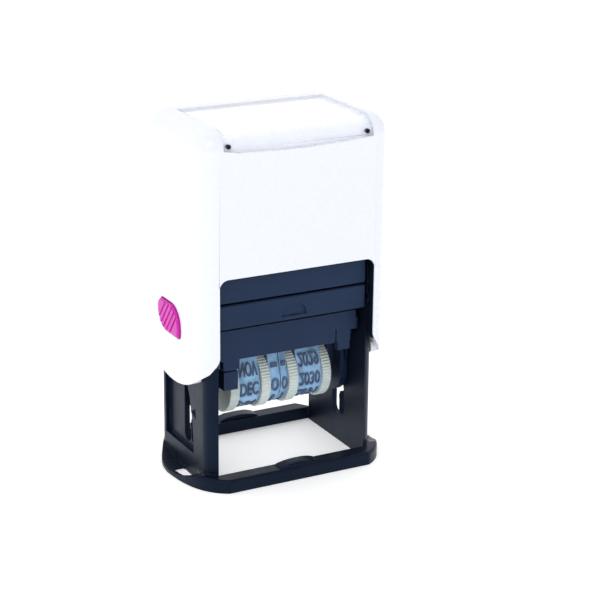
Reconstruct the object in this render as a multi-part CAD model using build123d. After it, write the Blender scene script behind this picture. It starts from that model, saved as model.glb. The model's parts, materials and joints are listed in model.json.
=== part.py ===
from build123d import *
import os
from math import asin, cos, pi, sin

# Self-inking rotary date stamp. Millimetres, +Z up, front towards -Y.
# The origin is the middle of the base on the table. Drawn at rest, cap up.

# cap
cap_width = 54.0
cap_depth = 36.0
cap_corner = 5.5
cap_wall = 2.0
cap_top = 95.2
cap_roof = 90.4
cap_edge = 5.4
cutout_half = 22.3
cutout_top = 57.1
arm_low = 25.4
arm_sweep = 26.0
arm_middle = 0.8

# press and flip
stroke = 23.0
axle_z = 32.6
axle_r = 1.6
follower_r = 1.0
follower_arm = 3.6
slot_gap = 0.3

# frame
frame_half = 24.5
wall_in = 21.6
recess_in = 23.2
frame_front = 15.6
frame_corner = 4.0
frame_top = 58.5
ring_height = 3.6
opening_half_y = 15.7
base_half_x = 29.5
base_half_y = 20.4
bridge_low = 50.2
bridge_high = 52.2

# ink cartridge
pad_z = 42.8
tray_low = 43.0
tray_top = 49.5
tray_half = 21.0

# carriage
block_half_x = 21.1
block_half_y = 13.2
block_low = 33.6
block_top = 39.6
plate_top = 40.9
die_base = 41.6
die_face = 42.1

# date wheels and bands
wheel_z = 22.6
flange_r = 7.9
hub_r = 6.0
band_r = 7.3
band_tip_r = 2.1
band_tip_z = 40.0
band_thick = 0.9
rod_r = 1.5
knurls = 60

# lock button
button_y = 2.2
button_z = 42.2
button_w = 13.2
button_h = 8.7

# return spring
spring_r = 5.4
wire_r = 0.5
turns = 9

# wheel name, flange from, flange to, hub from, hub to
wheels = (
    ("month_wheel", -14.3, -11.7, -11.7, -5.3),
    ("day_tens_wheel", -5.1, -2.5, -2.5, 0.7),
    ("day_units_wheel", 3.1, 5.75, 0.9, 3.1),
    ("year_wheel", 13.25, 15.7, 5.95, 13.25),
)
# band name, from, to
bands = (
    ("month_band", -11.5, -5.35),
    ("day_tens_band", -2.35, 0.65),
    ("day_units_band", 0.95, 2.95),
    ("year_band", 6.0, 13.1),
)


def block(x0, x1, y0, y1, z0, z1):
    size = (x1 - x0, y1 - y0, z1 - z0)
    middle = ((x0 + x1) / 2, (y0 + y1) / 2, (z0 + z1) / 2)
    return Pos(*middle) * Box(*size)


def rod_x(radius, x0, x1, y, z):
    spin = Rot(0, 90, 0)
    return Pos((x0 + x1) / 2, y, z) * spin * Cylinder(radius, x1 - x0)


def post_z(radius, z0, z1, x=0, y=0):
    return Pos(x, y, (z0 + z1) / 2) * Cylinder(radius, z1 - z0)


def across(profile, x0, x1):
    """A YZ profile carried along X."""
    return extrude(Plane.YZ.offset(x0) * profile, x1 - x0)


def deep(profile, y0, y1):
    """An XZ profile carried along Y."""
    return extrude(Plane.XZ.offset(-y1) * profile, y1 - y0)


def both_sides(solid):
    return solid + mirror(solid, Plane.YZ)


def rounded_z(solid, radius):
    return fillet(solid.edges().filter_by(Axis.Z), radius)


# ---------------------------------------------------------------- cap

def cap_shape(inset, top, edge):
    """The outside of the cap, or the same shape set in by a distance."""
    corner = cap_corner - inset
    plan = RectangleRounded(cap_width - 2 * inset, cap_depth - 2 * inset, corner)
    body = extrude(plan, top)
    rim = body.faces().sort_by(Axis.Z)[-1].edges()
    return fillet(rim, edge)


def window_zone(gap):
    """The part of the cap's top and front shoulder that the window covers."""
    half = 21.0 + gap
    low = 90.0 - gap
    sag = 1.0
    outline = Polyline((half, low), (half, 100), (-half, 100), (-half, low))
    arch = ThreePointArc((-half, low), (0, low - sag), (half, low))
    return deep(make_face(outline + arch), -20, 9.5 + gap)


def skin(depth):
    return cap_shape(0, cap_top, cap_edge) - cap_shape(depth, cap_top - depth, cap_edge - depth)


def card_zone(gap):
    return block(-19.6 - gap, 19.6 + gap, -14.7 - gap, 8.6 + gap, 90, 100)


def arm_cut():
    """Everything below the curved lower ends of the two arms."""
    middle_z = arm_low + arm_sweep
    area = Pos(0, middle_z / 2 - 5) * Rectangle(60, middle_z + 10)
    area -= Pos(arm_middle, middle_z) * Circle(arm_sweep)
    return across(area, -40, 40)


def flare(hand, start, low):
    """The cutout's edge from its straight side round the cap's corner, then back below."""
    steps = ((0, 0), (0.3, 1.4), (1.0, 2.6), (2.0, 4.0), (2.9, 5.2), (3.9, 6.4), (4.5, 7.2), (4.7, 7.7))
    edge = [(hand * (cutout_half + x), start - z) for x, z in steps]
    end_x, end_z = edge[-1]
    inner = hand * (cutout_half - 0.4)
    rest = ((end_x, end_z), (hand * 30, end_z), (hand * 30, low), (inner, low), (inner, start), edge[0])
    return Spline(*edge) + Polyline(*rest)


def cutout(side):
    """The open front or back of the cap, flared at the foot of each arm."""
    low = -10
    height = cutout_top - low
    area = Pos(0, (cutout_top + low) / 2) * RectangleRounded(2 * cutout_half, height, 2.4)
    area = deep(area, 12, 22)
    start = 36.8 if side < 0 else 34.8
    for hand in (-1, 1):
        foot = make_face(flare(hand, start, low))
        area += deep(foot, 12.6, 22)
    return area if side > 0 else mirror(area, Plane.XZ)


def leaf(grow):
    """The lock button's outline in YZ: two full corners and two tight ones."""
    w = button_w / 2 + grow
    h = button_h / 2 + grow
    corners = Polyline((-w, -h), (w, -h), (w, h), (-w, h), close=True)
    face = make_face(corners)
    radii = (1.6 + grow, 5.6 + grow, 2.4 + grow, 5.6 + grow)
    order = ((-w, -h), (w, -h), (w, h), (-w, h))
    for (y, z), radius in zip(order, radii):
        tip = face.vertices().sort_by_distance((y, z, 0))[0]
        face = fillet(tip, radius)
    return Pos(button_y, button_z) * face


def housing():
    shell = cap_shape(0, cap_top, cap_edge)
    shell -= cap_shape(cap_wall, cap_roof, 3.4)
    shell -= arm_cut()
    shell -= cutout(-1)
    shell -= cutout(1)
    shell -= skin(1.25) & window_zone(0.12)
    shell -= skin(1.65) & card_zone(0.1)
    for hand in (-1, 1):
        shell -= rod_x(2.4, *sorted((hand * 24, hand * 26.5)), 0, axle_z)
        shell -= across(leaf(0), *sorted((hand * 24, hand * 28)))
        shell -= across(leaf(1.3), *sorted((hand * 24, hand * 25.8)))
        shell += deep(Pos(hand * 19.6, 91.1) * Circle(0.55), -17.6, -16.4)
    for x in (-15, 15):
        shell += block(x - 0.6, x + 0.6, -16.2, -15.95, 60, 86)
        shell += block(x - 0.6, x + 0.6, 15.95, 16.2, 60, 86)
    return shell


def index_window():
    pane = skin(1.15) & window_zone(0)
    for x in (-19.6, 19.6):
        pane -= deep(Pos(x, 91.1) * Circle(0.7), -20, -15)
    return pane


def index_card():
    sheet = skin(1.6) & card_zone(0)
    return sheet - cap_shape(0, cap_top, cap_edge) + (sheet & cap_shape(1.25, cap_top - 1.25, cap_edge - 1.25))


def spring_post():
    tube = post_z(4.4, 75.8, cap_roof) - post_z(3.4, 75.8, cap_roof - 1.2)
    mouth = Pos(0, 0, 75.8) * Cone(4.0, 3.4, 1.2, align=(Align.CENTER, Align.CENTER, Align.MIN))
    return tube - mouth


def axle_bush(hand):
    a = hand * 25.0
    b = hand * 26.5
    ring = rod_x(2.4, min(a, b), max(a, b), 0, axle_z)
    return ring - rod_x(axle_r + 0.06, min(a, b) - 1, max(a, b) + 1, 0, axle_z)


def lock_button(hand):
    """Thumb pad through the arm, with a flange and a lug on the inside."""
    pad = across(leaf(-0.3), 25.1, 27.8)
    crown = pad.faces().sort_by(Axis.X)[-1].edges()
    pad = fillet(crown, 0.6)
    for n in range(-2, 3):
        groove = Pos(0, button_y + 2.1 * n, button_z) * Rot(38, 0, 0) * Box(0.8, 0.7, 16)
        pad -= Pos(27.9, 0, 0) * groove
    solid = pad + across(leaf(0.9), 25.1, 25.7)
    solid += block(24.75, 25.2, button_y - 3, button_y + 3, button_z - 2, button_z + 2)
    return solid if hand > 0 else mirror(solid, Plane.YZ)


# ---------------------------------------------------------------- frame

def base_outline():
    """Fuller at the front corners than at the back ones."""
    side = (
        (20.5, -base_half_y),
        (23.9, -18.0),
        (26.6, -14.4),
        (28.7, -8.0),
        (base_half_x, -1.0),
        (29.1, 3.0),
        (27.6, 7.4),
        (25.4, 11.6),
        (23.2, 15.6),
        (19.8, base_half_y),
    )
    right = Spline(*side)
    left = Spline(*[(-x, y) for x, y in side])
    front = Line((-20.5, -base_half_y), (20.5, -base_half_y))
    back = Line((-19.8, base_half_y), (19.8, base_half_y))
    return make_face(right + left + front + back)


def base_ring():
    ring = extrude(base_outline(), ring_height)
    rim = ring.faces().sort_by(Axis.Z)[-1].edges()
    ring = fillet(rim, 0.8)
    ring -= block(-wall_in, wall_in, -opening_half_y, opening_half_y, -1, 9)
    for y in (-18.1, 18.1):
        hump = Pos(0, ring_height - 0.2) * Ellipse(6.0, 1.4)
        hump &= Pos(0, ring_height + 4) * Rectangle(20, 9)
        ring += deep(hump, y - 1.7, y + 1.7)
    return ring


def foot_well():
    """A pocket beside each wall that takes the arm's lower end."""
    pocket = rounded_z(block(24.4, 27.5, -9.0, 4.6, 1.2, 12), 1.0)
    scoop = Pos(0, 41.0) * Circle(40.0)
    dip = across(scoop, 24.6, 40)
    drain = rounded_z(block(24.6, 28.0, -8.0, -0.4, -1, 9), 0.8)
    return pocket + dip + drain


def cam_path(step):
    angle = pi * step
    y = follower_arm * cos(angle)
    z = axle_z - stroke * step + follower_arm * sin(angle)
    return y, z


def cam_edge(offset, count=12):
    """Points beside the follower's path, a distance off its middle line."""
    points = []
    for n in range(count + 1):
        step = n / count
        y0, z0 = cam_path(step - 0.001)
        y1, z1 = cam_path(step + 0.001)
        length = ((y1 - y0) ** 2 + (z1 - z0) ** 2) ** 0.5
        y, z = cam_path(step)
        points.append((y - offset * (z1 - z0) / length, z + offset * (y1 - y0) / length))
    return points


def cam_slot():
    half = follower_r + slot_gap
    one = cam_edge(half)
    two = cam_edge(-half)
    top_y, top_z = cam_path(0)
    low_y, low_z = cam_path(1)
    strip = Spline(*one) + Spline(*two) + Line(one[0], two[0]) + Line(one[-1], two[-1])
    area = make_face(strip)
    area += Pos(top_y, top_z) * Circle(half)
    area += Pos(low_y, low_z) * Circle(half)
    return across(area, 20, recess_in + 0.1)


def recess():
    """The sunk panel on the outside of each wall, its front edge on the cam's curve."""
    curve = [(-2.6, 47.0)] + [p for p in cam_edge(-2.5) if p[0] < -1.9 and p[1] < 24]
    low_y, low_z = curve[-1]
    outline = Polyline(curve[0], (-2.6, 26.5))
    outline += Spline((-2.6, 26.5), *curve[1:])
    outline += Polyline((low_y, low_z), (low_y, 6.6), (11.2, 6.6), (11.2, 47.0), curve[0])
    return across(make_face(outline), recess_in, 30)


def side_wall():
    plan = RectangleRounded(2 * frame_half, 2 * frame_front, frame_corner)
    plan -= Rectangle(2 * wall_in, 60)
    wall = extrude(plan, frame_top)
    wall -= block(-30, 0, -30, 30, -1, 90)
    wall -= recess()
    wall -= cam_slot()
    half = axle_r + slot_gap
    wall -= block(20, 30, -half, half, axle_z - stroke, axle_z)
    wall -= rod_x(half, 20, 30, 0, axle_z)
    wall -= rod_x(half, 20, 30, 0, axle_z - stroke)
    wall -= block(recess_in, 30, -5.9, 10.3, 36.5, 48.0)
    wall -= block(20, 22.25, -20, 13.4, 44.9, 46.9)
    arrow = Polyline((-5.2, 18.2), (-7.6, 19.6), (-7.6, 16.8), close=True)
    wall -= across(make_face(arrow), frame_half - 0.5, 30)
    return wall


def base_frame():
    frame = base_ring()
    frame -= both_sides(foot_well())
    frame += both_sides(side_wall())
    frame += block(-wall_in - 0.5, wall_in + 0.5, -13.2, 13.2, bridge_low, bridge_high)
    for x in (-14, 14):
        frame += block(x - 0.8, x + 0.8, -13.2, 13.2, bridge_high, 55.0)
    frame += post_z(2.9, bridge_high, 65.6) - post_z(1.6, 54, 70)
    frame += post_z(6.6, bridge_high, 53.0) - post_z(6.1, bridge_high, 54) - post_z(4.9, 50, 54)
    return frame


def fascia(side):
    """The upright panel above the cartridge, clipped to the frame's bridge."""
    panel = block(-tray_half, tray_half, -frame_front, -13.6, 49.95, frame_top)
    long_edges = panel.edges().filter_by(Axis.X).group_by(Axis.Y)[0]
    panel = fillet(long_edges, 0.5)
    for x in (-17, 17):
        panel += block(x - 2, x + 2, -13.7, -12.0, bridge_high + 0.05, 53.6)
    return panel if side < 0 else mirror(panel, Plane.XZ)


# ---------------------------------------------------------------- ink cartridge

def ink_cartridge():
    tray = block(-tray_half, tray_half, -frame_front, 13.4, tray_low, tray_top)
    tray = fillet(tray.edges().filter_by(Axis.X).group_by(Axis.Y)[0], 0.5)
    tray -= block(-20.3, 20.3, -10.5, 10.5, 40, 47.3)
    for hand in (-1, 1):
        tray += block(*sorted((hand * 20.9, hand * 22.05)), -13.0, 13.0, 45.2, 46.6)
    notch = Pos(0, 44.2) * Circle(3.6) & Pos(0, 49.2) * Rectangle(10, 10)
    tray -= deep(notch, -20, -frame_front + 0.6)
    for n in range(3):
        tray -= block(-12, 12, 12.9, 14, 44.4 + 1.6 * n, 45.1 + 1.6 * n)
    return tray


def ink_pad_text():
    pad = block(-20.3, 20.3, -10.5, 10.5, pad_z, 47.3)
    return pad - block(-21, 21, -3.6, 3.6, 40, 50)


def ink_pad_date():
    return block(-20.3, 20.3, -3.2, 3.2, pad_z, 47.3)


# ---------------------------------------------------------------- carriage

def cheek(x0, x1, half, low, radius):
    plate = block(x0, x1, -half, half, low + radius, block_low + 4.2)
    return plate + rod_x(radius, x0, x1, 0, low + radius)


def carriage():
    body = block(-block_half_x, block_half_x, -block_half_y, block_half_y, block_low, block_top)
    body = fillet(body.edges().filter_by(Axis.Z), 1.2)
    body -= block(-19.2, 19.2, -11.7, 11.7, block_low - 1, 37.6)
    body -= block(-13.9, 15.1, -3.6, 3.6, 36, 41)
    body += block(-19.9, 19.9, -block_half_y, -11.9, block_top, 41.9)
    body += both_sides(cheek(19.0, block_half_x, 7.0, 15.4, 7.0))
    body += both_sides(cheek(16.1, 17.9, 4.4, 18.2, 4.4))
    body += block(-19.1, -14.4, -block_half_y, -11.0, 31.0, 34.0)
    body += block(-18.8, -14.7, -12.9, -9.6, 25.4, 30.4)
    body += block(-18.2, -15.3, -12.2, -9.9, 30.4, 31.3)
    body += block(14.5, 18.1, -block_half_y, -11.2, 31.3, 34.0)
    body -= block(13.5, 14.1, -14, -12.6, 31, 37.4)
    body -= block(18.3, 22, -14, -9.0, 31, 36.6)
    body -= both_sides(rod_x(axle_r, 18, 22, 0, axle_z))
    body -= both_sides(rod_x(follower_r, 18, 22, follower_arm, axle_z))
    body -= rod_x(rod_r, -18, 18, 0, wheel_z)
    return body


def axle_pin(hand):
    pin = rod_x(axle_r, 18.4, 26.4, 0, axle_z)
    pin = fillet(pin.faces().sort_by(Axis.X)[-1].edges(), 0.3)
    return pin if hand > 0 else mirror(pin, Plane.YZ)


def cam_pin(hand):
    pin = rod_x(follower_r, 18.6, 22.9, follower_arm, axle_z)
    pin = fillet(pin.faces().sort_by(Axis.X)[-1].edges(), 0.25)
    return pin if hand > 0 else mirror(pin, Plane.YZ)


def text_plate():
    plate = rounded_z(block(-20.6, 20.6, -11.5, 11.5, block_top, plate_top), 0.8)
    return plate - block(-13.9, 15.1, -3.3, 3.3, 30, 45)


def text_die():
    """Rubber sheet with a border and raised rules above and below the date."""
    die = rounded_z(block(-20.0, 20.0, -10.0, 10.0, plate_top, die_base), 0.6)
    border = block(-19.6, 19.6, -9.6, 9.6, die_base, die_face)
    border -= block(-19.0, 19.0, -9.0, 9.0, die_base - 1, die_face + 1)
    die += border
    for n, y in enumerate((7.4, 6.1, -5.4, -7.2)):
        half = 16.5 - 2.5 * (n % 2)
        die += block(-half, half, y - 0.35, y + 0.35, die_base, die_face)
    return die - block(-13.6, 14.8, -3.0, 3.0, 30, 45)


def loop(radius, tip):
    """A belt outline round the wheel and the narrow bridge near the die."""
    rise = band_tip_z - wheel_z
    lean = asin((radius - tip) / rise)
    low = (radius * cos(lean), wheel_z + radius * sin(lean))
    high = (tip * cos(lean), band_tip_z + tip * sin(lean))
    flank = make_face(Polyline(low, high, (-high[0], high[1]), (-low[0], low[1]), close=True))
    return flank + Pos(0, wheel_z) * Circle(radius) + Pos(0, band_tip_z) * Circle(tip)


def date_band(x0, x1):
    outline = loop(band_r, band_tip_r)
    outline -= loop(band_r - band_thick, band_tip_r - band_thick)
    return across(outline, x0, x1)


def band_bridge():
    """The bar that holds the bands up to the die, on webs between the bands."""
    tip = band_tip_r - band_thick - 0.05
    bar = rod_x(tip, -13.4, 14.6, 0, band_tip_z)
    bar += block(-13.4, 14.6, -0.9, 0.9, 38.0, band_tip_z)
    for x0, x1 in ((-13.8, -12.0), (-4.9, -2.9), (3.5, 5.4), (13.5, 15.0)):
        bar += block(x0, x1, -3.6, 3.6, 37.7, 39.4)
    return bar


def wheel_rod():
    rod = rod_x(rod_r, -18.6, 18.6, 0, wheel_z)
    rod = chamfer(rod.faces().sort_by(Axis.X)[-1].edges(), 0.3)
    return chamfer(rod.faces().sort_by(Axis.X)[0].edges(), 0.3)


def thumbwheel(x0, x1, hub0, hub1):
    """A knurled flange beside a hub that drives the band."""
    points = []
    for n in range(2 * knurls):
        turn = pi * n / knurls
        radius = flange_r if n % 2 else flange_r - 0.35
        points.append((radius * sin(turn), wheel_z + radius * cos(turn)))
    wheel = across(make_face(Polyline(*points, close=True)), x0, x1)
    wheel += rod_x(hub_r, hub0, hub1, 0, wheel_z)
    return wheel - rod_x(rod_r + 0.06, -30, 30, 0, wheel_z)


def return_spring():
    """A coil from the frame's seat up to the roof of the cap."""
    low = bridge_high + wire_r + 0.05
    high = cap_roof - wire_r - 0.05
    pitch = (high - low) / turns
    path = Pos(0, 0, low) * Helix(pitch, high - low, spring_r)
    section = Plane(path @ 0, z_dir=path % 0) * Circle(wire_r)
    return sweep(section, path, is_frenet=True)


def build():
    parts = {
        "base_frame": base_frame(),
        "front_fascia": fascia(-1),
        "back_fascia": fascia(1),
        "return_spring": return_spring(),
        "ink_cartridge": ink_cartridge(),
        "ink_pad_text": ink_pad_text(),
        "ink_pad_date": ink_pad_date(),
        "housing": housing(),
        "index_window": index_window(),
        "index_card": index_card(),
        "spring_post": spring_post(),
        "carriage": carriage(),
        "text_plate": text_plate(),
        "text_die": text_die(),
        "band_bridge": band_bridge(),
        "wheel_rod": wheel_rod(),
    }
    for name, hand in (("left", -1), ("right", 1)):
        parts["axle_bush_" + name] = axle_bush(hand)
        parts["lock_button_" + name] = lock_button(hand)
        parts["axle_pin_" + name] = axle_pin(hand)
        parts["cam_pin_" + name] = cam_pin(hand)
    for name, x0, x1, hub0, hub1 in wheels:
        parts[name] = thumbwheel(x0, x1, hub0, hub1)
    for name, x0, x1 in bands:
        parts[name] = date_band(x0, x1)
    return parts


os.makedirs("parts", exist_ok=True)
for node, shape in build().items():
    export_step(shape, "parts/" + node + ".step")
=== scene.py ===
import json
import math

import bmesh
import bpy
from mathutils import Matrix, Vector, noise

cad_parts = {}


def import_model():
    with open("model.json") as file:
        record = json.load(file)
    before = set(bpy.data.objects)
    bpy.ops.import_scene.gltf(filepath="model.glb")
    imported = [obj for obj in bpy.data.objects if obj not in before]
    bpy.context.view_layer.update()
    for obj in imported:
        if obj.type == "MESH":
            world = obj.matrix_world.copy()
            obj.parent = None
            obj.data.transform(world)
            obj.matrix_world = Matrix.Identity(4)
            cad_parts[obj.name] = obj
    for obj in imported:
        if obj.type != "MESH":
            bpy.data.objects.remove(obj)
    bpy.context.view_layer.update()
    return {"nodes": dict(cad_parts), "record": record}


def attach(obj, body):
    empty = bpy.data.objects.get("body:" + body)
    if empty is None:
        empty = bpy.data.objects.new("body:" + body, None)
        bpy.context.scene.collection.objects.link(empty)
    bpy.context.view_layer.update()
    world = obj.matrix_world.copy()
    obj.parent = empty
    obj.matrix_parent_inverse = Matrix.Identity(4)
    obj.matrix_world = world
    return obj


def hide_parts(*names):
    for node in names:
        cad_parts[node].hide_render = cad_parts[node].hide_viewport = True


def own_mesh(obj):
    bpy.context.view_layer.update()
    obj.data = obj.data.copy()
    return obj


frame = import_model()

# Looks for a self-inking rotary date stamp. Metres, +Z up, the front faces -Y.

MM = 0.001
record = frame["record"]
scene = bpy.context.scene
slot_of = {part["node"]: part["material_slot"] for part in record["subparts"]}
body_of = {n: b for b, members in record["behaviour"]["bodies"].items() for n in members}

# ------------------------------------------------------------------ sizes, mm

WHEEL_Z = 22.6            # axis of the four thumbwheels
BELT_R = 7.3              # belt's outside over the wheels
TIP_R = 2.1               # belt's outside at the printing end
TIP_Z = 40.0
BELT_FACE = -0.42         # belt's own surface, below the tops of the characters
BELT_BACK = -0.90
ROWS = 12                 # characters round each belt
CHARACTER_TOP = -0.02     # tops of the characters, just inside the belt's outside
CHARACTER_ROOT = BELT_FACE - 0.1   # their sides reach this far into the belt
CHARACTER_CUT = 0.28      # a character is cut this finely along the belt, to bend with it
SPRING_LOW, SPRING_HIGH = 52.2, 90.4
SPRING_R, WIRE_R, SPRING_TURNS = 5.4, 0.5, 9

BELTS = {                 # x range of each, from left to right
    "month_band": (-11.5, -5.35),
    "day_tens_band": (-2.35, 0.65),
    "day_units_band": (0.95, 2.95),
    "year_band": (6.0, 13.1),
}
MONTHS = ("AUG", "SEP", "OCT", "NOV", "DEC", "JAN", "FEB", "MAR", "APR", "MAY", "JUN", "JUL")
LEGENDS = {
    "month_band": MONTHS,
    "day_tens_band": ("1", "2", "3", "-", "0", "1", "2", "3", "-", "0", "1", "2"),
    "day_units_band": ("7", "8", "9", "-", "0", "1", "2", "3", "4", "5", "6", "-"),
    "year_band": tuple(str(2026 + n) for n in range(ROWS)),
}
LEGEND_SIZE = {               # letter height and the width that a row may take
    "month_band": (3.9, 5.3),
    "day_tens_band": (3.9, 2.3),
    "day_units_band": (3.9, 1.7),
    "year_band": (3.9, 6.2),
}

# ------------------------------------------------------------------ materials


def new_material(name):
    material = bpy.data.materials.new(name)
    material.use_nodes = True
    tree = material.node_tree
    return material, tree, tree.nodes["Principled BSDF"]


def place_in(tree):
    return tree.nodes.new("ShaderNodeTexCoord").outputs["Object"]


def noise_in(tree, place, scale, detail=3.0, stretch=None):
    """Noise whose marks are about 1 / scale metres across."""
    node = tree.nodes.new("ShaderNodeTexNoise")
    node.inputs["Scale"].default_value = scale
    node.inputs["Detail"].default_value = detail
    if stretch:
        mapping = tree.nodes.new("ShaderNodeMapping")
        mapping.inputs["Scale"].default_value = stretch
        tree.links.new(place, mapping.inputs["Vector"])
        place = mapping.outputs["Vector"]
    tree.links.new(place, node.inputs["Vector"])
    return node.outputs["Fac"]


def spread(tree, value, low, high, start=0.3, end=0.7):
    """The value between start and end, spread over low to high."""
    node = tree.nodes.new("ShaderNodeMapRange")
    node.inputs["From Min"].default_value = start
    node.inputs["From Max"].default_value = end
    node.inputs["To Min"].default_value = low
    node.inputs["To Max"].default_value = high
    tree.links.new(value, node.inputs["Value"])
    return node.outputs["Result"]


def arithmetic(tree, operation, a, b):
    node = tree.nodes.new("ShaderNodeMath")
    node.operation = operation
    for socket, value in zip(node.inputs, (a, b)):
        if isinstance(value, (int, float)):
            socket.default_value = value
        else:
            tree.links.new(value, socket)
    return node.outputs["Value"]


def colour_socket(node, name):
    return [s for s in node.inputs if s.name == name and s.type == "RGBA"][0]


def blend_rgb(tree, share, first, second):
    node = tree.nodes.new("ShaderNodeMix")
    node.data_type = "RGBA"
    tree.links.new(share, node.inputs[0])
    for name, value in (("A", first), ("B", second)):
        socket = colour_socket(node, name)
        if isinstance(value, tuple):
            socket.default_value = (*value, 1.0)
        else:
            tree.links.new(value, socket)
    return [s for s in node.outputs if s.type == "RGBA"][0]


def bump(tree, height, distance, before=None):
    """A bump of so many metres, on top of an earlier one."""
    node = tree.nodes.new("ShaderNodeBump")
    node.inputs["Strength"].default_value = 1.0
    node.inputs["Distance"].default_value = distance
    tree.links.new(height, node.inputs["Height"])
    if before is not None:
        tree.links.new(before, node.inputs["Normal"])
    return node.outputs["Normal"]


def rubbed_and_highlit_edges(tree, place, marks):
    """Where the rounded edges, marked by an attribute, take their lighter colour, broken up by noise:
    partly wear, partly a painted highlight.
    """
    edge = tree.nodes.new("ShaderNodeAttribute")
    edge.attribute_name = "wear_and_highlight"
    broken = spread(tree, noise_in(tree, place, marks, 4.0), 0.0, 1.0, 0.42, 0.62)
    return arithmetic(tree, "MULTIPLY", edge.outputs["Fac"], broken)


def moulded(
    name, colour, cloud, wear_and_highlight, roughness, grain=0.000004, coat=0.0,
    gloss=0.5, gloss_tint=(1.0, 1.0, 1.0),
):
    """Injection-moulded plastic: slow colour clouds, fine grain, flow waves, and lighter rounded edges
    that are partly wear, partly a painted highlight.
    """
    material, tree, shader = new_material(name)
    place = place_in(tree)
    base = blend_rgb(tree, spread(tree, noise_in(tree, place, 70.0), 0.0, 1.0), colour, cloud)
    base = blend_rgb(tree, rubbed_and_highlit_edges(tree, place, 420.0), base, wear_and_highlight)
    tree.links.new(base, shader.inputs["Base Color"])
    rubbed = noise_in(tree, place, 240.0, 2.0)
    tree.links.new(spread(tree, rubbed, roughness * 0.88, roughness * 1.15), shader.inputs["Roughness"])
    normal = bump(tree, noise_in(tree, place, 45.0, 0.0), 0.000022)
    normal = bump(tree, noise_in(tree, place, 5200.0, 2.0), grain, normal)
    tree.links.new(normal, shader.inputs["Normal"])
    shader.inputs["IOR"].default_value = 1.53
    shader.inputs["Specular IOR Level"].default_value = gloss
    shader.inputs["Specular Tint"].default_value = (*gloss_tint, 1.0)
    shader.inputs["Coat Weight"].default_value = coat
    shader.inputs["Coat Roughness"].default_value = 0.12
    return material


def rubber(name, colour, cloud, stain, roughness, stained):
    """Cast rubber, chalky on top, with ink worked into the surface."""
    material, tree, shader = new_material(name)
    place = place_in(tree)
    base = blend_rgb(tree, spread(tree, noise_in(tree, place, 260.0, 5.0), 0.0, 1.0), colour, cloud)
    ink = spread(tree, noise_in(tree, place, 340.0, 6.0), 0.0, stained, 0.48, 0.74)
    base = blend_rgb(tree, ink, base, stain)
    tree.links.new(base, shader.inputs["Base Color"])
    tree.links.new(
        spread(tree, noise_in(tree, place, 500.0), roughness - 0.12, roughness + 0.12),
        shader.inputs["Roughness"],
    )
    normal = bump(tree, noise_in(tree, place, 2600.0, 4.0), 0.00002)
    tree.links.new(normal, shader.inputs["Normal"])
    shader.inputs["IOR"].default_value = 1.5
    shader.inputs["Sheen Weight"].default_value = 0.12
    return material


def felt(name, colour, cloud):
    """Inked felt: matted fibres, wet patches."""
    material, tree, shader = new_material(name)
    place = place_in(tree)
    fibres = noise_in(tree, place, 1500.0, 8.0, (1.0, 0.35, 1.0))
    base = blend_rgb(tree, spread(tree, fibres, 0.0, 1.0), colour, cloud)
    tree.links.new(base, shader.inputs["Base Color"])
    wet = noise_in(tree, place, 220.0, 2.0)
    tree.links.new(spread(tree, wet, 0.55, 0.95), shader.inputs["Roughness"])
    tree.links.new(bump(tree, fibres, 0.00018), shader.inputs["Normal"])
    shader.inputs["Sheen Weight"].default_value = 0.35
    shader.inputs["Sheen Roughness"].default_value = 0.5
    return material


def metal(name, colour, cloud, roughness, stretch):
    """Drawn steel wire or rod, with lines along its length."""
    material, tree, shader = new_material(name)
    place = place_in(tree)
    lines = noise_in(tree, place, 1200.0, 4.0, stretch)
    base = blend_rgb(tree, spread(tree, lines, 0.0, 1.0), colour, cloud)
    tree.links.new(base, shader.inputs["Base Color"])
    tree.links.new(spread(tree, lines, roughness * 0.7, roughness * 1.4), shader.inputs["Roughness"])
    tree.links.new(bump(tree, lines, 0.000006), shader.inputs["Normal"])
    shader.inputs["Metallic"].default_value = 1.0
    return material


def printed_card(name):
    """Pale card with faint rows of print, shown as broken bars. Lengths in metres."""
    row_pitch, row_edge, print_half = 0.0021, (0.0006, 0.0008), (0.0148, 0.0152)
    strength = 0.42
    material, tree, shader = new_material(name)
    place = place_in(tree)
    axes = tree.nodes.new("ShaderNodeSeparateXYZ")
    tree.links.new(place, axes.inputs["Vector"])
    rows = arithmetic(tree, "PINGPONG", axes.outputs["Y"], row_pitch)
    in_row = spread(tree, rows, 1.0, 0.0, *row_edge)
    words = noise_in(tree, place, 300.0, 0.0, (1.0, 0.02, 0.02))
    in_word = spread(tree, words, 0.0, 1.0, 0.46, 0.50)
    from_middle = arithmetic(tree, "ABSOLUTE", axes.outputs["X"], 0.0)
    inside = spread(tree, from_middle, 1.0, 0.0, *print_half)
    ink = arithmetic(tree, "MULTIPLY", in_row, in_word)
    ink = arithmetic(tree, "MULTIPLY", ink, inside)
    ink = arithmetic(tree, "MULTIPLY", ink, strength)
    fibres = noise_in(tree, place, 1800.0, 6.0, (1.0, 0.3, 1.0))
    paper = blend_rgb(tree, spread(tree, fibres, 0.0, 1.0), (0.95, 0.95, 0.97), (0.98, 0.98, 0.99))
    violet, pink = (0.62, 0.52, 0.80), (0.85, 0.50, 0.66)
    tint = blend_rgb(tree, spread(tree, words, 0.0, 1.0, 0.5, 0.7), violet, pink)
    base = blend_rgb(tree, ink, paper, tint)
    tree.links.new(base, shader.inputs["Base Color"])
    tree.links.new(spread(tree, fibres, 0.5, 0.7), shader.inputs["Roughness"])
    tree.links.new(bump(tree, fibres, 0.00001), shader.inputs["Normal"])
    return material


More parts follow.
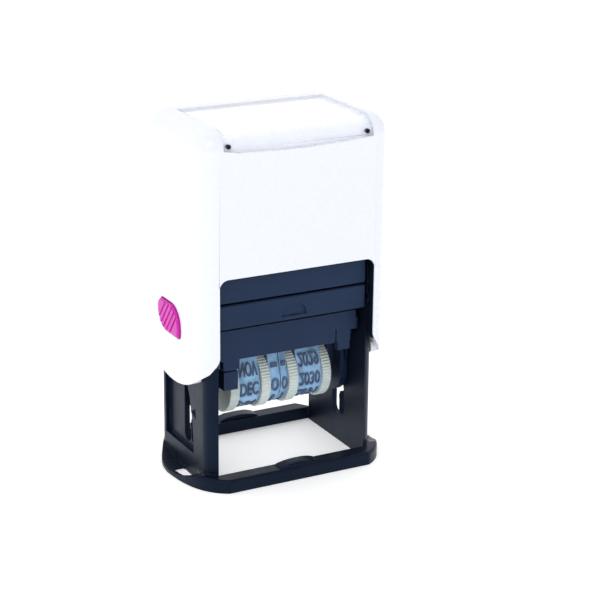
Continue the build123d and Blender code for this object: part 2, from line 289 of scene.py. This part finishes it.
def clear(name):
    """Thin clear plastic with a slight blue cast and fine rub marks. It hardly bends light."""
    material, tree, shader = new_material(name)
    place = place_in(tree)
    haze = noise_in(tree, place, 90.0, 4.0)
    base = blend_rgb(tree, spread(tree, haze, 0.0, 1.0), (0.972, 0.975, 0.990), (0.955, 0.962, 0.985))
    tree.links.new(base, shader.inputs["Base Color"])
    rub = noise_in(tree, place, 500.0, 3.0, (0.3, 1.0, 1.0))
    tree.links.new(spread(tree, rub, 0.02, 0.07), shader.inputs["Roughness"])
    shader.inputs["Transmission Weight"].default_value = 1.0
    shader.inputs["IOR"].default_value = 1.03
    shader.inputs["Coat Weight"].default_value = 0.6
    shader.inputs["Coat Roughness"].default_value = 0.05
    return material


NAVY_GLOSS = (0.34, 0.56, 1.0)
# each moulded plastic's third colour, here and below, is for its rounded edges and is lighter: partly
# wear, partly a painted highlight
materials = {
    "white_plastic": moulded(
        "white_abs", (0.795, 0.818, 0.880), (0.787, 0.810, 0.874), (0.82, 0.83, 0.87),
        roughness=0.27, grain=0.000002, coat=0.25,
    ),
    "black_plastic": moulded(
        "black_abs", (0.0040, 0.0066, 0.0150), (0.0060, 0.0095, 0.0200), (0.020, 0.030, 0.060),
        roughness=0.34, grain=0.000005, gloss=0.16, gloss_tint=NAVY_GLOSS,
    ),
    "magenta_plastic": moulded(
        "magenta_abs", (0.60, 0.011, 0.40), (0.55, 0.009, 0.36), (0.74, 0.07, 0.52),
        roughness=0.28, grain=0.000003, gloss=0.32,
    ),
    "cream_plastic": moulded(
        "cream_acetal", (0.62, 0.70, 0.69), (0.57, 0.63, 0.61), (0.78, 0.82, 0.82),
        roughness=0.40, grain=0.000004,
    ),
    "band_rubber": rubber(
        "belt_rubber", (0.36, 0.63, 0.93), (0.22, 0.42, 0.68), (0.03, 0.07, 0.17),
        roughness=0.55, stained=0.6,
    ),
    "die_rubber": rubber(
        "die_rubber", (0.055, 0.05, 0.055), (0.085, 0.075, 0.08), (0.012, 0.012, 0.018),
        roughness=0.6, stained=0.9,
    ),
    "black_felt": felt("black_felt", (0.010, 0.010, 0.014), (0.030, 0.030, 0.038)),
    "red_felt": felt("red_felt", (0.30, 0.010, 0.030), (0.46, 0.035, 0.06)),
    "card": printed_card("printed_card"),
    "clear_plastic": clear("clear_styrene"),
    "spring_steel": metal(
        "spring_wire", (0.52, 0.52, 0.54), (0.66, 0.66, 0.68),
        roughness=0.28, stretch=(1.0, 1.0, 0.15),
    ),
    "steel": metal(
        "turned_steel", (0.58, 0.58, 0.60), (0.72, 0.72, 0.73),
        roughness=0.22, stretch=(0.12, 1.0, 1.0),
    ),
}
satin_black = moulded(
    "satin_black_abs", (0.0066, 0.0125, 0.0340), (0.0090, 0.0165, 0.0430), (0.024, 0.036, 0.074),
    roughness=0.38, grain=0.000006, gloss=0.38, gloss_tint=NAVY_GLOSS,
)
character_ink = rubber(
    "character_rubber", (0.045, 0.085, 0.17), (0.08, 0.13, 0.24), (0.010, 0.018, 0.05),
    roughness=0.5, stained=0.7,
)
SATIN_NODES = ("front_fascia", "back_fascia", "ink_cartridge", "carriage", "text_plate")

# ------------------------------------------------------------------ meshes

ROOM = 2.3                # a face must be this many roundings wide
SHARP_ANGLE = 33.0        # degrees: edges above this are rounded
SMOOTH_ANGLE = 38.0       # degrees: edges below this are shaded smooth
FACET_ANGLE = 3.0         # clear plastic keeps its facets, or light bends wrongly
FACETED = ("index_window",)
WELD = 0.000002           # metres: points closer than this become one
FLAT_ANGLE = 0.7          # degrees: faces that turn less than this are merged


def add_piece(name, mesh, body, slot, material=None):
    piece = bpy.data.objects.new(name, mesh)
    scene.collection.objects.link(piece)
    piece.data.materials.clear()
    piece.data.materials.append(material or materials[slot])
    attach(piece, body)
    return piece


def shade(mesh, angle):
    """Smooth over edges below this angle in degrees. Big faces outweigh small ones, so flats stay flat."""
    limit = math.cos(math.radians(angle))
    around = [[] for _ in mesh.vertices]
    facing = [(face.normal.copy(), face.area) for face in mesh.polygons]
    for face in mesh.polygons:
        face.use_smooth = True
        for n in face.vertices:
            around[n].append(facing[face.index])
    normals = []
    for face in mesh.polygons:
        own = facing[face.index][0]
        for n in face.vertices:
            total = Vector()
            for normal, area in around[n]:
                if normal.dot(own) > limit:
                    total += normal * area
            normals.append(total.normalized() if total.length > 0 else own)
    mesh.normals_split_custom_set(normals)


def welded(node):
    """The CAD node's faces as one joined mesh, flat areas merged."""
    source = frame["nodes"][node].data
    grid = bmesh.new()
    points = [grid.verts.new(v.co) for v in source.vertices]
    for face in source.polygons:
        grid.faces.new([points[n] for n in face.vertices])
    bmesh.ops.remove_doubles(grid, verts=grid.verts, dist=WELD)
    bmesh.ops.dissolve_limit(
        grid, angle_limit=math.radians(FLAT_ANGLE), verts=grid.verts, edges=grid.edges
    )
    return grid


def roundable(edge, width):
    """Sharp, and with room for the rounding across both of its faces."""
    if len(edge.link_faces) != 2 or edge.calc_face_angle(0) < math.radians(SHARP_ANGLE):
        return False
    return all(f.calc_area() > ROOM * width * MM * edge.calc_length() for f in edge.link_faces)


def refined(node, width):
    """The CAD node with its sharp edges rounded to this width in mm."""
    grid = welded(node)
    rounded = []
    if width:
        edges = [edge for edge in grid.edges if roundable(edge, width)]
        made = bmesh.ops.bevel(
            grid, geom=edges, offset=width * MM, offset_type="OFFSET", segments=2,
            profile=0.5, affect="EDGES", clamp_overlap=False,
        )
        grid.faces.index_update()
        rounded = [face.index for face in made["faces"]]
    mesh = bpy.data.meshes.new(node + "_finish")
    grid.to_mesh(mesh)
    grid.free()
    # the rounded faces get the lighter edge colour: partly wear, partly a painted highlight
    wear_and_highlight = mesh.attributes.new("wear_and_highlight", "FLOAT", "CORNER")
    for n in rounded:
        for corner in mesh.polygons[n].loop_indices:
            wear_and_highlight.data[corner].value = 1.0
    shade(mesh, FACET_ANGLE if node in FACETED else SMOOTH_ANGLE)
    special = satin_black if node in SATIN_NODES else None
    piece = add_piece(node + "_finish", mesh, body_of[node], slot_of[node], special)
    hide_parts(node)
    return piece


ROUNDED = {               # how far each node's sharp edges are rounded, in mm
    "housing": 0.22,
    "base_frame": 0.2,
    "front_fascia": 0.2,
    "back_fascia": 0.2,
    "ink_cartridge": 0.18,
    "carriage": 0.18,
    "text_plate": 0.12,
    "text_die": 0.05,
    "band_bridge": 0.1,
    "index_window": 0.1,
    "index_card": 0.0,
    "spring_post": 0.12,
    "wheel_rod": 0.05,
    "axle_bush_left": 0.12,
    "axle_bush_right": 0.12,
    "lock_button_left": 0.06,
    "lock_button_right": 0.06,
    "axle_pin_left": 0.05,
    "axle_pin_right": 0.05,
    "cam_pin_left": 0.05,
    "cam_pin_right": 0.05,
    "month_wheel": 0.06,
    "day_tens_wheel": 0.06,
    "day_units_wheel": 0.06,
    "year_wheel": 0.06,
}
for part_name, edge_width in ROUNDED.items():
    refined(part_name, edge_width)
# light reaches the card through the clear window
bpy.data.objects["index_window_finish"].visible_shadow = False

# ------------------------------------------------------------------ belts

# a belt's two straight flanks lean towards each other, from the wheel up to the tip
LEAN = math.asin((BELT_R - TIP_R) / (TIP_Z - WHEEL_Z))
FLANK = (TIP_Z - WHEEL_Z) * math.cos(LEAN)
TIP_HALF = TIP_R * (math.pi / 2 - LEAN)        # half of the arc round the tip
HUB_HALF = BELT_R * (math.pi / 2 + LEAN)       # half of the arc round the wheel
BELT_LENGTH = 2 * (TIP_HALF + FLANK + HUB_HALF)


def belt_point(along, lift):
    """(y, z) in mm on the belt's outline. It starts at the top and goes down the front."""
    along = along % BELT_LENGTH
    side = -1
    if along > BELT_LENGTH / 2:
        along = BELT_LENGTH - along
        side = 1
    if along < TIP_HALF:
        turn = along / TIP_R
        radius, centre = TIP_R + lift, TIP_Z
    elif along < TIP_HALF + FLANK:
        down = along - TIP_HALF
        y = (TIP_R + lift) * math.cos(LEAN) + down * math.sin(LEAN)
        z = TIP_Z + (TIP_R + lift) * math.sin(LEAN) - down * math.cos(LEAN)
        return side * y, z
    else:
        turn = math.pi / 2 - LEAN + (along - TIP_HALF - FLANK) / BELT_R
        radius, centre = BELT_R + lift, WHEEL_Z
    return side * radius * math.sin(turn), centre + radius * math.cos(turn)


def belt_strip(name, x0, x1):
    """The moulded belt: a strip with cut corners and a low rim along each edge."""
    steps = 168
    rim, lip, slope = 0.28, 0.10, 0.1
    cut, long_cut = 0.05, 0.06
    top = BELT_FACE + lip
    section = [
        (x0 + cut, BELT_BACK), (x0, BELT_BACK + long_cut), (x0, top - cut),
        (x0 + long_cut, top), (x0 + rim, top), (x0 + rim + slope, BELT_FACE),
        (x1 - rim - slope, BELT_FACE), (x1 - rim, top), (x1 - long_cut, top),
        (x1, top - cut), (x1, BELT_BACK + long_cut), (x1 - cut, BELT_BACK),
    ]
    grid = bmesh.new()
    rings = []
    for n in range(steps):
        ring = []
        for x, lift in section:
            y, z = belt_point(BELT_LENGTH * n / steps, lift)
            ring.append(grid.verts.new((x * MM, y * MM, z * MM)))
        rings.append(ring)
    for n, ring in enumerate(rings):
        following = rings[(n + 1) % steps]
        for m in range(len(section)):
            k = (m + 1) % len(section)
            grid.faces.new((ring[m], ring[k], following[k], following[m]))
    bmesh.ops.recalc_face_normals(grid, faces=grid.faces)
    mesh = bpy.data.meshes.new(name)
    grid.to_mesh(mesh)
    grid.free()
    shade(mesh, 40.0)
    return mesh


def flat_text(text, height, width):
    """The outline of a word as flat faces, centred, in mm. Thin signs are stretched less."""
    bolder, least_extent = 0.012, 0.35
    curve = bpy.data.curves.new("word", "FONT")
    curve.body = text
    curve.size = 1.0
    curve.resolution_u = 3
    curve.offset = bolder
    holder = bpy.data.objects.new("word", curve)
    scene.collection.objects.link(holder)
    view = bpy.context.evaluated_depsgraph_get()
    mesh = bpy.data.meshes.new_from_object(holder.evaluated_get(view))
    bpy.data.objects.remove(holder)
    bpy.data.curves.remove(curve)
    grid = bmesh.new()
    grid.from_mesh(mesh)
    bpy.data.meshes.remove(mesh)
    xs = [v.co.x for v in grid.verts]
    ys = [v.co.y for v in grid.verts]
    grow_x = width / max(max(xs) - min(xs), least_extent)
    grow_y = height / max(max(ys) - min(ys), least_extent)
    for v in grid.verts:
        v.co.x = (v.co.x - (max(xs) + min(xs)) / 2) * grow_x
        v.co.y = (v.co.y - (max(ys) + min(ys)) / 2) * grow_y
        v.co.z = 0.0
    return grid


def belt_characters(name, x0, x1, words, height, width):
    """Raised rows all round the belt, mirrored as printing type is."""
    whole = bmesh.new()
    pitch = BELT_LENGTH / len(words)
    for n, word in enumerate(words):
        grid = flat_text(word, height, width)
        bmesh.ops.remove_doubles(grid, verts=grid.verts, dist=0.0005)
        for cut in range(-7, 8):
            everything = grid.verts[:] + grid.edges[:] + grid.faces[:]
            bmesh.ops.bisect_plane(
                grid, geom=everything, plane_co=(0, cut * CHARACTER_CUT, 0), plane_no=(0, 1, 0)
            )
        raised = bmesh.ops.extrude_face_region(grid, geom=grid.faces[:])
        tops = {v for v in raised["geom"] if isinstance(v, bmesh.types.BMVert)}
        for v in grid.verts:
            lift = CHARACTER_TOP if v in tops else CHARACTER_ROOT
            y, z = belt_point(n * pitch + v.co.y, lift)
            v.co = Vector(((x0 + x1) / 2 + v.co.x, y, z)) * MM
        bmesh.ops.recalc_face_normals(grid, faces=grid.faces)
        part = bpy.data.meshes.new("row")
        grid.to_mesh(part)
        grid.free()
        whole.from_mesh(part)
        bpy.data.meshes.remove(part)
    mesh = bpy.data.meshes.new(name)
    whole.to_mesh(mesh)
    whole.free()
    shade(mesh, 35.0)
    return mesh


for part_name, (left, right) in BELTS.items():
    strip = add_piece(
        part_name + "_strip", belt_strip(part_name, left, right), "carriage", "band_rubber"
    )
    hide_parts(part_name)
    letters = belt_characters(
        part_name + "_rows", left, right, LEGENDS[part_name], *LEGEND_SIZE[part_name]
    )
    add_piece(part_name + "_rows", letters, "carriage", "band_rubber", character_ink)

# ------------------------------------------------------------------ spring


def coil_height(turn):
    """The wire's height in mm at this turn. The end coils lie flat."""
    closed, clear_of_seat, looseness = 0.9, 0.06, 1.06
    low = SPRING_LOW + WIRE_R + clear_of_seat
    high = SPRING_HIGH - WIRE_R - clear_of_seat
    pitch = 2 * WIRE_R * looseness
    if turn < closed:
        return low + pitch * turn
    if turn > SPRING_TURNS - closed:
        return high - pitch * (SPRING_TURNS - turn)
    share = (turn - closed) / (SPRING_TURNS - 2 * closed)
    return low + pitch * closed + share * (high - low - 2 * pitch * closed)


def spring_mesh():
    around, along = 14, SPRING_TURNS * 56
    grid = bmesh.new()
    rings = []
    for n in range(along + 1):
        turn = SPRING_TURNS * n / along
        angle = 2 * math.pi * turn
        out = Vector((math.cos(angle), math.sin(angle), 0))
        centre = out * SPRING_R + Vector((0, 0, coil_height(turn)))
        ring = []
        for m in range(around):
            a = 2 * math.pi * m / around
            round_wire = out * math.cos(a) + Vector((0, 0, math.sin(a)))
            ring.append(grid.verts.new((centre + WIRE_R * round_wire) * MM))
        rings.append(ring)
    for first, second in zip(rings, rings[1:]):
        for m in range(around):
            k = (m + 1) % around
            grid.faces.new((first[m], first[k], second[k], second[m]))
    grid.faces.new(rings[0])
    grid.faces.new(rings[-1])
    bmesh.ops.recalc_face_normals(grid, faces=grid.faces)
    mesh = bpy.data.meshes.new("return_spring_coil")
    grid.to_mesh(mesh)
    grid.free()
    shade(mesh, 50.0)
    return mesh


coil = add_piece("return_spring_coil", spring_mesh(), "frame", "spring_steel")
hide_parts("return_spring")
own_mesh(coil)

# ------------------------------------------------------------------ ink pads


def pad_mesh(name, x0, x1, y0, y1, z0, z1, seed):
    """A felt block: finely divided, rounded, its surface slightly matted. Lengths in mm."""
    step, soft, sunk, fuzz_height, fuzz_scale = 0.55, 0.45, 0.06, 0.05, 1.7
    columns = max(2, round((x1 - x0) / step))
    rows = max(2, round((y1 - y0) / step))
    layers = max(2, round((z1 - z0) / step))
    grid = bmesh.new()
    bmesh.ops.create_cube(grid, size=1.0)
    for axis, count in ((0, columns), (1, rows), (2, layers)):
        for n in range(1, count):
            plane = [0.0, 0.0, 0.0]
            normal = [0.0, 0.0, 0.0]
            plane[axis] = -0.5 + n / count
            normal[axis] = 1.0
            everything = grid.verts[:] + grid.edges[:] + grid.faces[:]
            bmesh.ops.bisect_plane(grid, geom=everything, plane_co=plane, plane_no=normal)
    centre = Vector(((x0 + x1) / 2, (y0 + y1) / 2, (z0 + z1) / 2))
    half = Vector(((x1 - x0) / 2, (y1 - y0) / 2, (z1 - z0) / 2))
    for v in grid.verts:
        point = Vector([2 * v.co[n] * half[n] for n in range(3)])
        core = Vector([max(-half[n] + soft, min(half[n] - soft, point[n])) for n in range(3)])
        out = point - core
        if out.length > 1e-6:
            fuzz = noise.noise(point * fuzz_scale + Vector((seed, 0, 0)))
            point = core + out.normalized() * (soft - sunk + fuzz_height * fuzz)
        v.co = (centre + point) * MM
    mesh = bpy.data.meshes.new(name)
    grid.to_mesh(mesh)
    grid.free()
    shade(mesh, 60.0)
    return mesh


PAD_HALF_X = 20.3
PAD_Z = (42.8, 47.3)
PADS = (
    ("ink_pad_text", "ink_pad_text_back", (3.5, 10.5), "black_felt"),
    ("ink_pad_text", "ink_pad_text_front", (-10.5, -3.5), "black_felt"),
    ("ink_pad_date", "ink_pad_date_strip", (-3.2, 3.2), "red_felt"),
)
for n, (node, piece_name, pad_y, slot_name) in enumerate(PADS):
    block = pad_mesh(piece_name, -PAD_HALF_X, PAD_HALF_X, *pad_y, *PAD_Z, 10.0 * n)
    pad = add_piece(piece_name, block, "cartridge", slot_name)
    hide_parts(node)

# ------------------------------------------------------------------ cutout trim

CUTOUT_X, CUTOUT_TOP, CUTOUT_CORNER = 22.3, 57.1, 2.4
FLARE_Z = {-1: 36.8, 1: 34.8}      # where the straight edge ends, front and back
FLARE_FOOT = (            # outwards, down, then the direction into the opening
    (0.62, 1.98, -0.88, -0.47),
    (0.30, 1.30, -0.94, -0.34),
    (0.10, 0.60, -0.99, -0.15),
)
TRIM_THICK = 0.2
TRIM_ROUND = 0.08
TRIM_GAP = 0.02           # between the cap's cut edge and the black strip
TRIM_Y = (15.95, 17.75)   # on the back, mirrored on the front


def trim_path(side):
    """The cutout's right half as (x, z, direction into the opening), from its foot to its middle."""
    upright_steps, corner_steps, top_steps = 6, 8, 4
    start = FLARE_Z[side]
    path = [(CUTOUT_X + x, start - z, (out_x, out_z)) for x, z, out_x, out_z in FLARE_FOOT]
    path.append((CUTOUT_X, start, (-1, 0)))
    for n in range(1, upright_steps):
        height = start + (CUTOUT_TOP - CUTOUT_CORNER - start) * n / upright_steps
        path.append((CUTOUT_X, height, (-1, 0)))
    for n in range(corner_steps + 1):
        a = math.radians(90 * n / corner_steps)
        x = CUTOUT_X - CUTOUT_CORNER + CUTOUT_CORNER * math.cos(a)
        z = CUTOUT_TOP - CUTOUT_CORNER + CUTOUT_CORNER * math.sin(a)
        path.append((x, z, (-math.cos(a), -math.sin(a))))
    for n in range(1, top_steps + 1):
        path.append(((CUTOUT_X - CUTOUT_CORNER) * (1 - n / top_steps), CUTOUT_TOP, (0, -1)))
    return path


def trim_mesh(side):
    """A thin black strip along the cutout's cut edge, on the front (-1) or the back (1)."""
    right = trim_path(side)
    left = [(-x, z, (-out[0], out[1])) for x, z, out in reversed(right[:-1])]
    near, far = side * TRIM_Y[1], side * TRIM_Y[0]
    section = (
        (TRIM_GAP, near), (TRIM_THICK - TRIM_ROUND, near), (TRIM_THICK, near - side * TRIM_ROUND),
        (TRIM_THICK, far), (TRIM_GAP, far),
    )
    grid = bmesh.new()
    rings = []
    for x, z, out in right + left:
        rings.append([
            grid.verts.new(((x + depth * out[0]) * MM, y * MM, (z + depth * out[1]) * MM))
            for depth, y in section
        ])
    count = len(section)
    for first, second in zip(rings, rings[1:]):
        for m in range(count):
            k = (m + 1) % count
            grid.faces.new((first[m], first[k], second[k], second[m]))
    grid.faces.new(rings[0])
    grid.faces.new(rings[-1])
    bmesh.ops.recalc_face_normals(grid, faces=grid.faces)
    mesh = bpy.data.meshes.new("cutout_trim")
    grid.to_mesh(mesh)
    grid.free()
    shade(mesh, 40.0)
    return mesh


add_piece("cutout_trim_front", trim_mesh(-1), "cap", "black_plastic")
add_piece("cutout_trim_back", trim_mesh(1), "cap", "black_plastic")

# ------------------------------------------------------------------ latch pins, black as painted shadow

PIN_X, PIN_Z, PIN_R = 19.6, 91.1, 0.6
PIN_Y = (-16.5, -17.8)
PIN_ROUND = 0.2


def latch_shadow_pin_mesh(x):
    """A pin with a rounded head that holds the window's front edge, black to paint the shadow at the
    latch.
    """
    middle = Vector((x, sum(PIN_Y) / 2, PIN_Z)) * MM
    lying = Matrix.Translation(middle) @ Matrix.Rotation(math.radians(90), 4, "X")
    grid = bmesh.new()
    bmesh.ops.create_cone(
        grid, segments=24, cap_ends=True, radius1=PIN_R * MM, radius2=PIN_R * MM,
        depth=abs(PIN_Y[1] - PIN_Y[0]) * MM, matrix=lying,
    )
    rim = [e for e in grid.edges if e.calc_face_angle(0) > math.radians(60)]
    bmesh.ops.bevel(
        grid, geom=rim, offset=PIN_ROUND * MM, offset_type="OFFSET", segments=3,
        profile=0.5, affect="EDGES", clamp_overlap=True,
    )
    mesh = bpy.data.meshes.new("latch_shadow_pin")
    grid.to_mesh(mesh)
    grid.free()
    shade(mesh, 40.0)
    return mesh


# the pins are black as painted shadow at the window's latches
for hand, pin_x in (("left", -PIN_X), ("right", PIN_X)):
    add_piece("latch_shadow_pin_" + hand, latch_shadow_pin_mesh(pin_x), "cap", "black_plastic")

# ------------------------------------------------------------------ studio

FLOOR_HALF = 3.0                   # metres
MIDDLE = (0, 0, 0.05)              # the softboxes face this point
SOFTBOXES = (                      # place and size in metres, power in watts, colour
    ("key", (-0.45, -0.45, 0.55), (0.34, 0.34), 0.85, (1.0, 1.0, 1.0)),
    ("fill", (0.55, -0.55, 0.35), (0.5, 0.6), 0.22, (0.80, 0.90, 1.0)),
    ("top", (0.0, 0.1, 0.8), (0.6, 0.6), 0.30, (1.0, 1.0, 1.0)),
)


def floor_material():
    material, tree, shader = new_material("studio_floor")
    place = place_in(tree)
    base = blend_rgb(
        tree, spread(tree, noise_in(tree, place, 9.0), 0.0, 1.0), (0.93, 0.93, 0.93), (0.95, 0.95, 0.95)
    )
    tree.links.new(base, shader.inputs["Base Color"])
    tree.links.new(spread(tree, noise_in(tree, place, 40.0), 0.55, 0.7), shader.inputs["Roughness"])
    shader.inputs["Emission Color"].default_value = (1.0, 1.0, 1.0, 1.0)
    shader.inputs["Emission Strength"].default_value = 0.30
    return material


def floor():
    grid = bmesh.new()
    bmesh.ops.create_grid(grid, x_segments=8, y_segments=8, size=FLOOR_HALF)
    mesh = bpy.data.meshes.new("studio_floor")
    grid.to_mesh(mesh)
    grid.free()
    mesh.materials.append(floor_material())
    piece = bpy.data.objects.new("studio_floor", mesh)
    scene.collection.objects.link(piece)


def softbox(name, place, size, power, colour):
    light = bpy.data.lights.new(name, "AREA")
    light.shape = "RECTANGLE"
    light.size, light.size_y = size
    light.energy = power
    light.color = colour
    lamp = bpy.data.objects.new(name, light)
    scene.collection.objects.link(lamp)
    lamp.location = place
    lamp.rotation_mode = "QUATERNION"
    lamp.rotation_quaternion = (Vector(MIDDLE) - Vector(place)).to_track_quat("-Z", "Y")


SKY_MEAN = 0.88                    # strength averaged over all directions
SKY_LEAN = (-0.04, 0.22, 0.18)     # brighter behind and overhead


def world():
    """A white light tent, dimmer in front of the object."""
    sky = bpy.data.worlds.new("studio")
    scene.world = sky
    sky.use_nodes = True
    tree = sky.node_tree
    aim = tree.nodes.new("ShaderNodeTexCoord").outputs["Generated"]
    lean = tree.nodes.new("ShaderNodeVectorMath")
    lean.operation = "DOT_PRODUCT"
    lean.inputs[1].default_value = SKY_LEAN
    tree.links.new(aim, lean.inputs[0])
    strength = arithmetic(tree, "ADD", lean.outputs["Value"], SKY_MEAN)
    tree.links.new(strength, tree.nodes["Background"].inputs["Strength"])
    tree.nodes["Background"].inputs["Color"].default_value = (1.0, 1.0, 1.0, 1.0)


CAMERA_AZIMUTH = 28.239            # degrees to the left of the front
CAMERA_ELEVATION = 18.464          # degrees
CAMERA_ROLL = 0.592                # degrees
CAMERA_TARGET = Vector((0.008505, -0.000127, 0.043742))
CAMERA_DISTANCE = 0.48419          # metres from the target
CAMERA_LENS = 110.71               # mm
CAMERA_SENSOR = 36.0               # mm


def camera():
    a, e, r = (math.radians(x) for x in (CAMERA_AZIMUTH, CAMERA_ELEVATION, CAMERA_ROLL))
    back = Vector((-math.sin(a) * math.cos(e), -math.cos(a) * math.cos(e), math.sin(e)))
    right = (-back).cross(Vector((0, 0, 1))).normalized()
    up = right.cross(-back)
    across = right * math.cos(r) + up * math.sin(r)
    above = up * math.cos(r) - right * math.sin(r)
    place = CAMERA_TARGET + back * CAMERA_DISTANCE
    lens = bpy.data.cameras.new("camera")
    lens.sensor_width = CAMERA_SENSOR
    lens.lens = CAMERA_LENS
    lens.clip_start = 0.01
    holder = bpy.data.objects.new("camera", lens)
    scene.collection.objects.link(holder)
    holder.matrix_world = Matrix((
        (across.x, above.x, back.x, place.x),
        (across.y, above.y, back.y, place.y),
        (across.z, above.z, back.z, place.z),
        (0, 0, 0, 1),
    ))
    scene.camera = holder


floor()
world()
for box in SOFTBOXES:
    softbox(*box)
camera()
scene.view_settings.view_transform = "Standard"
